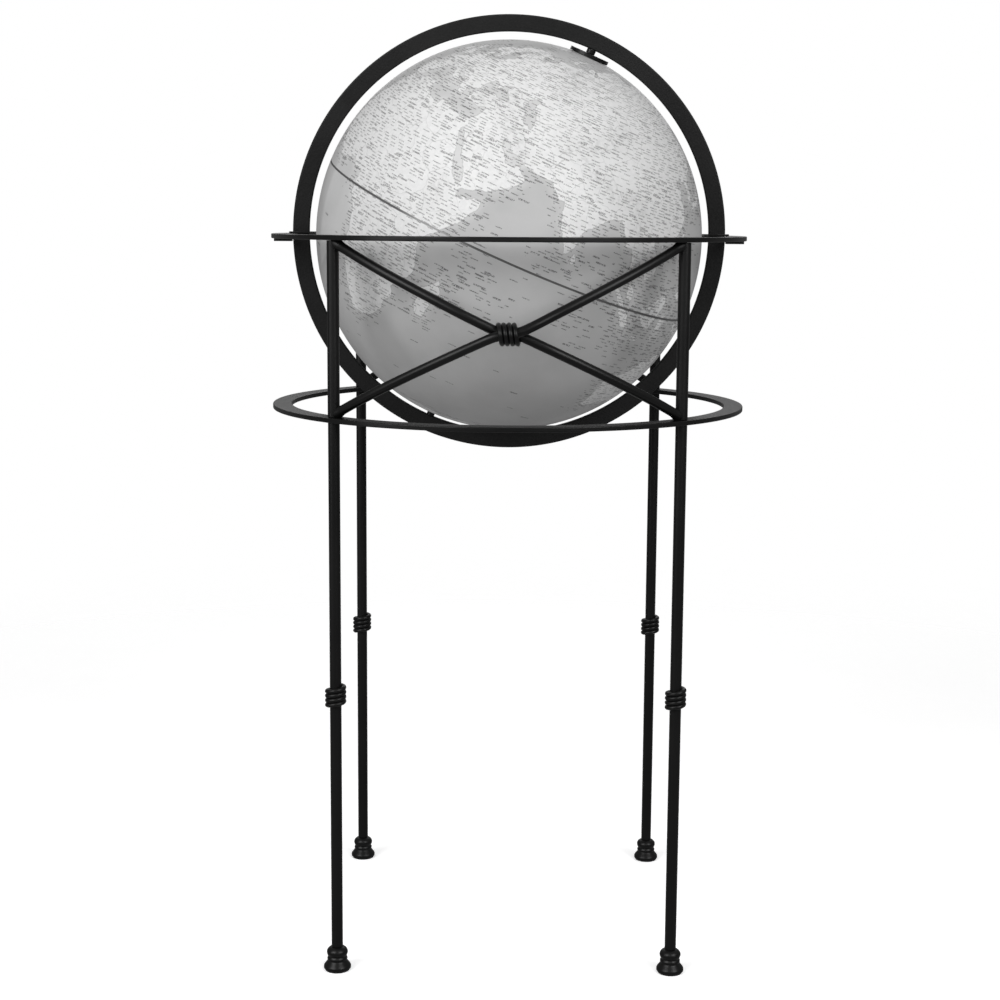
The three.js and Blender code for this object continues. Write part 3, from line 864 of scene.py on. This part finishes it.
EURASIA = [
    (-5.5, 36), (-9, 37), (-9, 39), (-9, 43), (-2, 43.4), (-1.2, 46), (-4.5, 48.3), (-1.5, 48.7), (0, 49.5),
    (3.5, 51.3), (5, 53.2), (8.5, 54), (8.2, 57), (10.5, 57.6), (10, 55), (11, 54), (14, 54), (18.5, 54.7),
    (21, 55.5), (21.5, 57.5), (24.3, 57.3), (23.5, 59.2), (28, 59.6), (30, 60), (25, 60.2), (22.5, 60),
    (21.3, 62), (25, 65), (22, 65.8), (17.5, 61.5), (18.5, 60), (16.5, 57.5), (16, 56.2), (14.3, 55.5),
    (12.8, 55.5), (11.2, 59), (8, 58), (5.3, 59), (5.2, 62), (11, 64.5), (14.5, 68), (20, 70), (26, 71),
    (31, 70.3), (40.5, 67), (40, 66.2), (33, 66.6), (35, 64.3), (38, 64), (40, 64.7), (44, 66.2), (44, 68.5),
    (50, 68), (55, 68.5), (60.5, 69.5), (66, 69), (67, 71.5), (70, 73), (73, 72), (72.5, 68), (74.5, 68),
    (75, 72), (81, 73.6), (87, 75), (98, 76.3), (104, 77.5), (112, 76.5), (112, 74), (119, 73), (127, 73.3),
    (131, 71), (140, 72.5), (150, 71.5), (160, 69.7), (170, 69.5), (180, 68.8), (190, 66.3), (187, 64.5),
    (180, 64.8), (178, 62.5), (172, 60.5), (164, 60), (162.5, 56), (157, 51.2), (155.7, 56), (160, 60.5),
    (163.5, 62.5), (157, 61.8), (152, 59.2), (143, 59.3), (135.5, 54.7), (140.5, 53), (140.5, 48.5),
    (135.5, 44), (131.5, 43), (129.7, 41.5), (127.5, 39.7), (129.4, 37), (129, 35.3), (126.3, 34.5),
    (126.5, 37.2), (124.8, 39.8), (121.5, 39), (121.8, 40.7), (118, 39), (119, 37.3), (122.5, 37),
    (119.5, 35), (121.8, 32), (122, 29.5), (119.5, 26), (116.5, 23), (111, 21.5), (110, 20.5), (108, 21.7),
    (106, 19.5), (109, 15), (109, 11.5), (106.5, 9.5), (105, 8.8), (105, 10.3), (102.5, 12), (101, 13.4),
    (99.8, 11.5), (99.5, 9.2), (103.3, 5), (104, 1.4), (101.3, 3), (100.3, 6.2), (98.3, 8.5), (98.6, 12.5),
    (97.5, 16.5), (95.3, 16), (94.3, 18.5), (91.8, 22.5), (88.5, 21.7), (86.5, 20.3), (82.3, 16.7),
    (80.2, 15), (80.2, 12), (79.8, 10.3), (77.5, 8.1), (76.2, 10.5), (73.5, 16), (72.8, 20), (72.5, 21.3),
    (70.5, 20.8), (69, 22.4), (67, 24.8), (62, 25.2), (57.5, 25.6), (56.5, 27), (52.5, 27.6), (50.2, 30),
    (48, 30), (48.7, 28), (50.3, 26.5), (51.3, 25.8), (51.7, 24.2), (54.5, 24.3), (56.4, 26.2), (56.6, 24.5),
    (59.8, 22.4), (57.7, 19.5), (55, 17.3), (52, 15.6), (45, 12.8), (43.3, 12.8), (42.7, 16), (39.2, 20.8),
    (37, 25), (34.8, 28.2), (35, 29.5), (34.2, 27.8), (32.6, 29.9), (32.4, 31.2), (34.5, 31.5), (35.8, 34.5),
    (36, 36.7), (32.5, 36.1), (30.5, 36.7), (27.5, 36.8), (26.5, 39.3), (29, 41), (31.5, 41.2), (35, 42),
    (38.5, 41), (41.5, 41.5), (39, 44), (37.5, 45.3), (39.2, 47.1), (35, 46.2), (36, 45.3), (33.7, 44.4),
    (32.7, 46), (30.7, 46.4), (28.7, 44), (28, 42), (28.8, 41.2), (26.3, 40.7), (23.8, 40), (24, 38),
    (22.7, 36.6), (21.2, 37.8), (19.5, 41), (19.3, 42), (15.5, 44), (13.7, 45.6), (12.3, 45), (13.7, 43.5),
    (16, 41.9), (18.4, 40.1), (17, 40.4), (16.5, 38.4), (15.7, 38.2), (15.8, 40), (12.3, 41.7), (10.3, 43.7),
    (8.5, 44.3), (4.5, 43.4), (3.2, 42), (-0.2, 39.5), (-0.7, 37.6), (-2.2, 36.8),
]
NORTH_AMERICA = [
    (-168, 65.7), (-162, 66.6), (-166.5, 68.3), (-156.5, 71.3), (-141, 69.7), (-128, 70), (-115, 68.5),
    (-108, 68), (-96, 68), (-94.5, 72), (-88, 68), (-81.5, 69), (-86.5, 66.2), (-94, 61.3), (-94.5, 58.7),
    (-92.5, 57), (-82.3, 55.2), (-82, 53), (-79.5, 51.3), (-79, 54.5), (-77, 57.5), (-78, 62.3), (-70, 61),
    (-65, 59.5), (-61.5, 57), (-56, 52.5), (-59.5, 50.2), (-66.5, 50.2), (-65, 48.7), (-64.5, 46.5),
    (-60, 46), (-65.7, 43.6), (-67, 44.8), (-70.3, 43.6), (-70, 41.8), (-74, 40.6), (-75.7, 37.5), (-76, 35),
    (-81, 31.8), (-80.1, 26.5), (-81.2, 25.3), (-82.8, 28.5), (-84.3, 30), (-89.5, 30), (-91, 29.3),
    (-94.5, 29.4), (-97.3, 27.5), (-97.7, 22.5), (-96, 19), (-94, 18.2), (-91, 18.8), (-90.3, 21),
    (-87, 21.4), (-88, 18), (-88.5, 15.8), (-83.3, 15), (-83.7, 11), (-81, 9), (-77.5, 8.7), (-80, 7.3),
    (-83.5, 8.5), (-87.5, 13), (-94, 16.2), (-101, 17.5), (-105.5, 20.3), (-105.7, 22.5), (-109.5, 26.5),
    (-113, 31.2), (-114.7, 31), (-111.5, 26), (-109.7, 23), (-112, 24.7), (-115, 28), (-117.2, 32.6),
    (-120.6, 34.6), (-124, 39.5), (-124, 43), (-124.5, 48.4), (-122.5, 48), (-127.5, 51), (-131, 55),
    (-137, 58.5), (-146, 60.7), (-151.5, 59.3), (-158, 56.5), (-164.5, 54.7), (-158, 58.5), (-165.5, 61.2),
    (-161, 64.5),
]
SOUTH_AMERICA = [
    (-77.5, 8.7), (-75, 11), (-71.7, 12.3), (-71, 11), (-62, 10.7), (-57, 6), (-51.5, 4.5), (-50, 0),
    (-44.5, -2.7), (-40, -3), (-35.2, -5.5), (-35, -9), (-39, -13.5), (-39.3, -18.5), (-42, -23),
    (-47.5, -25), (-48.7, -28.5), (-53.5, -34), (-58.3, -34.2), (-57, -36.5), (-62, -39), (-65, -41),
    (-63.8, -42.5), (-67.5, -46), (-65.9, -47.8), (-69, -51), (-68.4, -52.4), (-65.3, -54.7), (-69.5, -55.3),
    (-74.5, -51), (-75.5, -46.6), (-72.8, -42), (-73.6, -37.3), (-71.4, -31), (-70.3, -18.5), (-76.2, -14),
    (-79.5, -7.8), (-81.2, -5), (-80, -2.5), (-80.5, 0), (-78.8, 1.7), (-77.3, 4),
]
ANTARCTICA = [
    (-180, -78), (-160, -78), (-150, -76.5), (-130, -74), (-105, -73.5), (-85, -73), (-73, -72), (-67, -68),
    (-58, -63.3), (-61, -68), (-63, -74), (-75, -77.5), (-50, -78), (-35, -78), (-25, -74), (-12, -71.5),
    (10, -70), (35, -69), (50, -66.5), (70, -70), (75, -69), (90, -66.5), (115, -66.7), (135, -66),
    (150, -68.5), (165, -71), (164, -77.5), (180, -78.5), (180, -90), (-180, -90),
]
AUSTRALIA = [
    (114, -22), (113.6, -26), (115.8, -32), (115.2, -34.3), (118, -35), (124, -33), (131, -31.5),
    (135.5, -34.8), (138, -33), (139.5, -36), (143.5, -38.8), (146.3, -39), (150, -37.3), (151.5, -33),
    (153.5, -28), (152.8, -25), (149, -21), (146, -19), (145.3, -15), (142.5, -10.8), (141.7, -14),
    (140.8, -17.5), (136, -15), (136.8, -12.2), (132.5, -11.3), (129.7, -14.8), (126, -14), (122.2, -17.8),
    (119, -20),
]
GREENLAND = [
    (-44, 60), (-51, 64), (-54, 67.5), (-51, 70), (-58, 75.3), (-68, 76), (-72, 78.5), (-62, 81.5),
    (-35, 83.5), (-12, 81.5), (-19, 76), (-22, 71), (-26, 68.3), (-39, 65.5), (-43, 60.2),
]
ISLANDS = [
    [(-5.5, 50), (1.3, 51.2), (1.5, 52.8), (-1.2, 54.5), (-2, 57.5), (-3.5, 58.6), (-5.2, 58.4), (-5.6, 56),
     (-3.2, 54.9), (-4.5, 53.3), (-5, 51.7), (-3, 51.3)],
    [(-10, 52), (-6.3, 52.2), (-6, 54.5), (-8, 55.2), (-9.8, 53.8)],
    [(-22.5, 64), (-18.7, 63.4), (-14, 64.8), (-16, 66.4), (-22, 66.3), (-24, 65.5)],
    [(11, 79.5), (16.5, 76.7), (25, 79.8), (20, 80.4)],
    [(52, 71), (57, 70.6), (57, 73.2), (68, 76.6), (58, 75.3), (53, 73)], [(95, 79), (104, 78.5), (98, 81)],
    [(137, 75.5), (150, 75), (145, 76)],
    [(49.3, -12), (50.3, -15.5), (47.2, -25), (45, -25.5), (43.5, -22.5), (44.3, -19), (44.5, -16.2),
     (47, -15)],
    [(80, 9.7), (81.3, 8), (81.8, 7), (80.3, 6), (79.8, 8)],
    [(95.3, 5.6), (98, 4.5), (104, -1.5), (106, -3.5), (105.8, -5.8), (103.5, -5), (100.5, -1), (98.7, 1.7)],
    [(105.3, -6.7), (108.5, -6.7), (112.7, -7), (114.5, -8), (111, -8.3), (106.5, -7.4)],
    [(109, 1.5), (111.5, 2.5), (114.5, 5), (117, 7), (119, 5), (117.7, 1), (116.5, -1.5), (116, -4),
     (112, -3.4), (110, -1.5)],
    [(119.8, 0.5), (125, 1.5), (120.5, 0.3), (123.3, -0.8), (121.5, -2), (122.5, -5), (120.5, -3),
     (120, -5.5), (119, -3)],
    [(131, -0.8), (134, -0.8), (135, -3.3), (138, -1.7), (145, -4.2), (147.8, -6.5), (150.8, -10.5),
     (146, -8.5), (143, -9), (138.5, -8.3), (137.8, -5.2), (133, -4)],
    [(144.7, -40.8), (148.3, -41), (147, -43.5), (145.5, -42.5)],
    [(173, -34.5), (175.5, -37), (178.3, -37.8), (176.8, -40), (175, -41.5), (174, -39.3), (174.8, -37.5)],
    [(172.7, -40.6), (174.2, -41.7), (171, -44.5), (168.5, -46.6), (166.6, -46), (169.5, -43.5)],
    [(130, 31.3), (131.7, 33.5), (135.7, 33.6), (138.8, 34.7), (140.8, 35.7), (142, 39.5), (141.3, 41.3),
     (140, 40), (138.7, 37.5), (136.8, 37.2), (135.5, 35.6), (131, 34.4), (129.7, 33)],
    [(140.2, 42), (143.3, 42.1), (145.4, 43.3), (142, 45.5), (141.2, 43.2)],
    [(142, 46), (143.5, 47), (143, 50), (143.2, 54), (142, 54), (142, 50)],
    [(120.5, 18.5), (122.2, 18.3), (121.6, 15.5), (124, 12.7), (121, 13.7), (120, 16)],
    [(122.2, 7), (125.5, 9.7), (126.3, 7), (125.4, 5.7), (124, 7)],
    [(121, 25.2), (121.8, 24.8), (120.8, 22), (120.1, 23.2)], [(108.7, 19.4), (110.8, 20), (110, 18.3)],
    [(-62, 66.5), (-67.5, 70), (-80, 73.6), (-89, 73), (-85, 70.3), (-72.5, 67.7), (-73, 64.5), (-66, 62.2),
     (-65, 64.5)],
    [(-105, 69.3), (-117, 70), (-117.5, 73), (-106, 73)], [(-123, 71.2), (-125, 74), (-118, 74.2)],
    [(-78, 76.3), (-90, 77), (-91, 80.8), (-70, 83), (-63, 82), (-75, 78.7)],
    [(-59, 47.7), (-53.3, 46.8), (-53.5, 49.3), (-56, 51.5)],
    [(-84.8, 22), (-82, 23.1), (-75.5, 21), (-74.3, 20.2), (-77.5, 20), (-78.5, 21.5)],
    [(-74, 20), (-68.5, 18.7), (-71.5, 17.8), (-74.3, 18.4)],
]
LAKES = [
    [(47.5, 45.5), (51, 46.8), (53, 46.5), (51, 44.5), (52.5, 42), (54, 39.5), (53.8, 37), (50.5, 37.2),
     (49, 38.7), (49.5, 40.6), (47.7, 42.5)],
    [(-92, 46.7), (-88.5, 48.5), (-84.7, 46.6), (-88, 46.9)],
    [(-87.8, 42), (-86.3, 42), (-85.5, 45.7), (-87.5, 45)],
    [(-84, 46), (-81, 45.8), (-82.4, 43.1), (-83.8, 44)],
]
LANDS = [AFRICA, EURASIA, NORTH_AMERICA, SOUTH_AMERICA, ANTARCTICA, AUSTRALIA, GREENLAND] + ISLANDS
RIDGES = [
    [(72, 36), (80, 31), (88, 28), (96, 28.5)], [(68, 36), (75, 39), (82, 42), (90, 48)],
    [(6, 45), (14, 47)], [(32, 38), (42, 40), (46, 36), (55, 28)], [(40, 43.5), (47, 41.5)],
    [(-75, 5), (-77, -10), (-68, -22), (-71, -40)], [(-150, 62), (-120, 50), (-107, 38), (-103, 25)],
    [(59, 66), (58, 52)], [(38, 12), (37, 7)], [(-8, 31), (5, 35)], [(145, -17), (149, -37)],
    [(98, 27), (99, 19)], [(29, -30), (32, -25)],
]
# Where the print is denser or sparser than elsewhere: longitude, latitude, spread in degrees, change.
PRINT_PATCHES = [
    (15, 48, 15, 0.35), (38, 35, 8, 0.35), (110, 28, 14, 0.2), (104, 8, 13, 0.65), (119, -4, 14, 0.75),
    (57, -10, 9, 0.6), (73, 4, 4, 0.5), (88, -6, 7, 0.3), (-88, 22, 15, 0.3), (-76, 40, 11, 0.3),
    (138, 36, 8, 0.3), (50, 20, 5, -0.45), (47, 8, 4, -0.3), (24, 22, 9, -0.15), (88, 34, 6, -0.25),
    (-60, -5, 9, -0.15), (130, -25, 8, -0.2), (-45, 72, 13, -0.55), (0, -85, 18, -0.5),
]

LAND_PRINT = 0.8
OPEN_SEA_PRINT = 0.012
COAST_PRINT = 0.85
COAST_PRINT_REACH = 2.8
RIDGE_REACH = 3

MAP_TURN = math.radians(154.65)
GRID = 0.75
COAST_STEP = 0.2


def direction(longitude, latitude):
    a = math.radians(longitude)
    b = math.radians(latitude)
    return Vector((math.cos(b) * math.cos(a), math.cos(b) * math.sin(a), math.sin(b)))


def points_along(line):
    """Close points along a line, as directions from the ball's centre."""
    spots = []
    for (x0, y0), (x1, y1) in zip(line, line[1:]):
        if min(y0, y1) <= -90:
            continue
        steps = max(1, int(math.hypot(x1 - x0, y1 - y0) / COAST_STEP))
        shares = [k / steps for k in range(steps)]
        spots += [direction(x0 + (x1 - x0) * share, y0 + (y1 - y0) * share) for share in shares]
    return spots


def nearest_tree(lines):
    spots = [spot for line in lines for spot in points_along(line)]
    tree = KDTree(len(spots))
    for index, spot in enumerate(spots):
        tree.insert(spot, index)
    tree.balance()
    return tree


def degrees_away(tree, points):
    chords = np.array([tree.find(p)[2] for p in points])
    return np.degrees(2 * np.arcsin(np.clip(chords / 2, 0, 1)))


def inside(outline, longitude, latitude):
    hit = np.zeros(longitude.shape, bool)
    for (x0, y0), (x1, y1) in zip(outline, outline[1:] + outline[:1]):
        if y0 == y1:
            continue
        crossing = (y0 > latitude) != (y1 > latitude)
        hit ^= crossing & (longitude < x0 + (latitude - y0) * (x1 - x0) / (y1 - y0))
    return hit


def map_values(points):
    """Each point's degrees inland from the coast, closeness to a mountain range, and print density."""
    unit = points / np.linalg.norm(points, axis=1)[:, None]
    longitude = np.degrees(np.arctan2(unit[:, 1], unit[:, 0]))
    latitude = np.degrees(np.arcsin(np.clip(unit[:, 2], -1, 1)))
    land = np.zeros(longitude.shape, bool)
    for outline in LANDS:
        land |= inside(outline, longitude, latitude) | inside(outline, longitude + 360, latitude)
    for outline in LAKES:
        land &= ~inside(outline, longitude, latitude)
    away = degrees_away(COAST_TREE, unit)
    ridge = degrees_away(RIDGE_TREE, unit)
    coast = np.where(land, away, -away)
    at_sea = OPEN_SEA_PRINT + COAST_PRINT * np.exp(-((away / COAST_PRINT_REACH) ** 2))
    density = np.where(land, LAND_PRINT, at_sea)
    for x, y, spread, change in PRINT_PATCHES:
        spot = np.array(direction(x, y))
        angle = np.degrees(np.arccos(np.clip(unit @ spot, -1, 1)))
        density = density + change * np.exp(-((angle / spread) ** 2))
    return coast, np.exp(-((ridge / RIDGE_REACH) ** 2)), np.clip(density, 0.0, 0.93)


COAST_TREE = nearest_tree([outline + outline[:1] for outline in LANDS + LAKES])
RIDGE_TREE = nearest_tree(RIDGES)


def hemisphere_outline():
    """The half shell's (radius, height) outline: out over the top, back along the inside."""
    first = math.degrees(SEAM / BALL_RADIUS)
    last = math.degrees(math.acos(POLE_HOLE / BALL_RADIUS))
    rows = round((last - first) / GRID)
    inner_rows = rows // 4
    outline = []
    for radius, count, order in ((BALL_RADIUS, rows, 1), (BALL_RADIUS - SHELL, inner_rows, -1)):
        for k in range(count + 1)[::order]:
            angle = math.radians(first + (last - first) * k / count)
            outline.append((radius * math.cos(angle), radius * math.sin(angle)))
    return outline


def hemisphere(pole, flip):
    verts, faces = moved(lathe(hemisphere_outline(), round(360 / GRID), closed=True), flip)
    piece = start_piece("hemisphere_" + pole, moved((verts, faces), POLAR_FRAME))
    points = np.array(moved((verts, []), turned(MAP_TURN, "Z"))[0])
    store(piece.data, "map_point", "FLOAT_VECTOR", "vector", points / BALL_RADIUS)
    for name, values in zip(("coast", "relief", "print"), map_values(points)):
        store(piece.data, name, "FLOAT", "value", values)
    finish_piece(piece, "ball", "map_paper")


def store(mesh, name, kind, field, values):
    attribute = mesh.attributes.new(name, kind, "POINT")
    attribute.data.foreach_set(field, values.astype(np.float32).ravel())


# ---- CAD pieces that stay, with a better material ----
def dress_kept_nodes():
    """Gives each CAD node that still shows the finish of its slot."""
    slots = {}
    for row in frame["record"]["materials"]:
        for node in row.get("nodes", []):
            slots[node] = row["slot"]
    for name, node in frame["nodes"].items():
        if node.hide_render:
            continue
        slot = slots.get(name, "steel")
        node.data.materials.clear()
        node.data.materials.append(PAINTS[slot])


# ---- floor, light and camera ----
FLOOR_RADIUS = 2400
FLOOR_FADE = (0.7, 2.2)  # metres from the middle
DOME_SIDE = 0.18
DOME_RISE = 0.27
WHITE = (1, 1, 1, 1)
# name, place, width and height in metres, watts
SOFTBOXES = [
    ("left", (-1.9, -2.3, 2.0), (1.7, 1.9), 62),
    ("right", (1.9, -2.3, 2.0), (1.7, 1.9), 58),
    ("back", (0, 2.6, 1.75), (2.6, 0.7), 9),
    ("front", (0, -3.0, 0.95), (3.0, 0.5), 5),
    ("side", (-2.7, -1.6, 1.0), (0.5, 1.8), 9),
]


def pale_floor():
    """A plain pale floor that fades out into the white background."""
    rim = [(FLOOR_RADIUS * x, FLOOR_RADIUS * y, 0) for x, y in circle(96)]
    floor = bare_object("floor", (rim, [list(range(len(rim)))]))
    paint = Paint("pale_floor", Roughness=0.9, Specular_IOR_Level=0.1, Emission_Strength=0.42)
    paint.set("Emission Color", WHITE)
    place = paint.place()
    paint.set("Base Color", paint.ramp(paint.noise(place, 3), 0.3, 0.7, 0.9, 0.92))
    away = paint.add("VectorMath", {0: place}, operation="LENGTH").outputs["Value"]
    paint.set("Alpha", paint.ramp(away, *FLOOR_FADE, 1, 0))
    floor.data.materials.append(paint.material)
    floor.visible_diffuse = False
    floor.visible_glossy = False
    floor.visible_shadow = False


def white_room():
    """A white background for the camera, and a dim dome that is brighter overhead and underfoot."""
    world = bpy.data.worlds.new("white_room")
    bpy.context.scene.world = world
    world.use_nodes = True
    room = Nodes(world.node_tree)
    height = room.add("SeparateXYZ", {0: room.add("TexCoord").outputs["Generated"]}).outputs["Z"]
    strength = room.calc("MULTIPLY_ADD", room.calc("POWER", height, 2), DOME_RISE, DOME_SIDE)
    glow = room.add("Background", {"Color": WHITE, "Strength": strength}).outputs[0]
    plain = room.add("Background", {"Color": WHITE}).outputs[0]
    seen = room.add("LightPath").outputs["Is Camera Ray"]
    mixed = room.add("MixShader", {0: seen, 1: glow, 2: plain}).outputs[0]
    room.put(world.node_tree.nodes["World Output"].inputs["Surface"], mixed)


def studio_light():
    """Rectangular lights that face the ball's centre."""
    for name, place, size, power in SOFTBOXES:
        data = bpy.data.lights.new("softbox_" + name, "AREA")
        data.shape = "RECTANGLE"
        data.size, data.size_y = size
        data.energy = power
        lamp = add_object("softbox_" + name, data)
        lamp.location = place
        lamp.rotation_mode = "QUATERNION"
        aim = Vector((0, 0, CENTRE * MM)) - Vector(place)
        lamp.rotation_quaternion = aim.to_track_quat("-Z", "Y")


CAMERA_PLACE = Vector((0, -1.99155, CENTRE * MM + 0.01998))
CAMERA_LENS = 67.03
CAMERA_PITCH = -0.1504
CAMERA_YAW = -0.0038
CAMERA_ROLL = 0.0068


def camera():
    data = bpy.data.cameras.new("camera")
    data.sensor_width = 36
    data.lens = CAMERA_LENS
    made = add_object("camera", data)
    level = turned(math.pi / 2 + CAMERA_PITCH, "X")
    turn = turned(-CAMERA_YAW, "Z")
    roll = turned(CAMERA_ROLL, "Z")
    made.matrix_world = Matrix.Translation(CAMERA_PLACE) @ turn @ level @ roll
    bpy.context.scene.camera = made


horizon_ring()
lower_ring()
ring_screws()
legs()
feet()
leg_collars()
braces()
pivots()
meridian_ring()
polar_axis()
hemisphere("north", Matrix.Identity(4))
hemisphere("south", turned(TURN / 2, "X"))
dress_kept_nodes()
pale_floor()
white_room()
studio_light()
camera()
bpy.context.scene.view_settings.view_transform = "Standard"
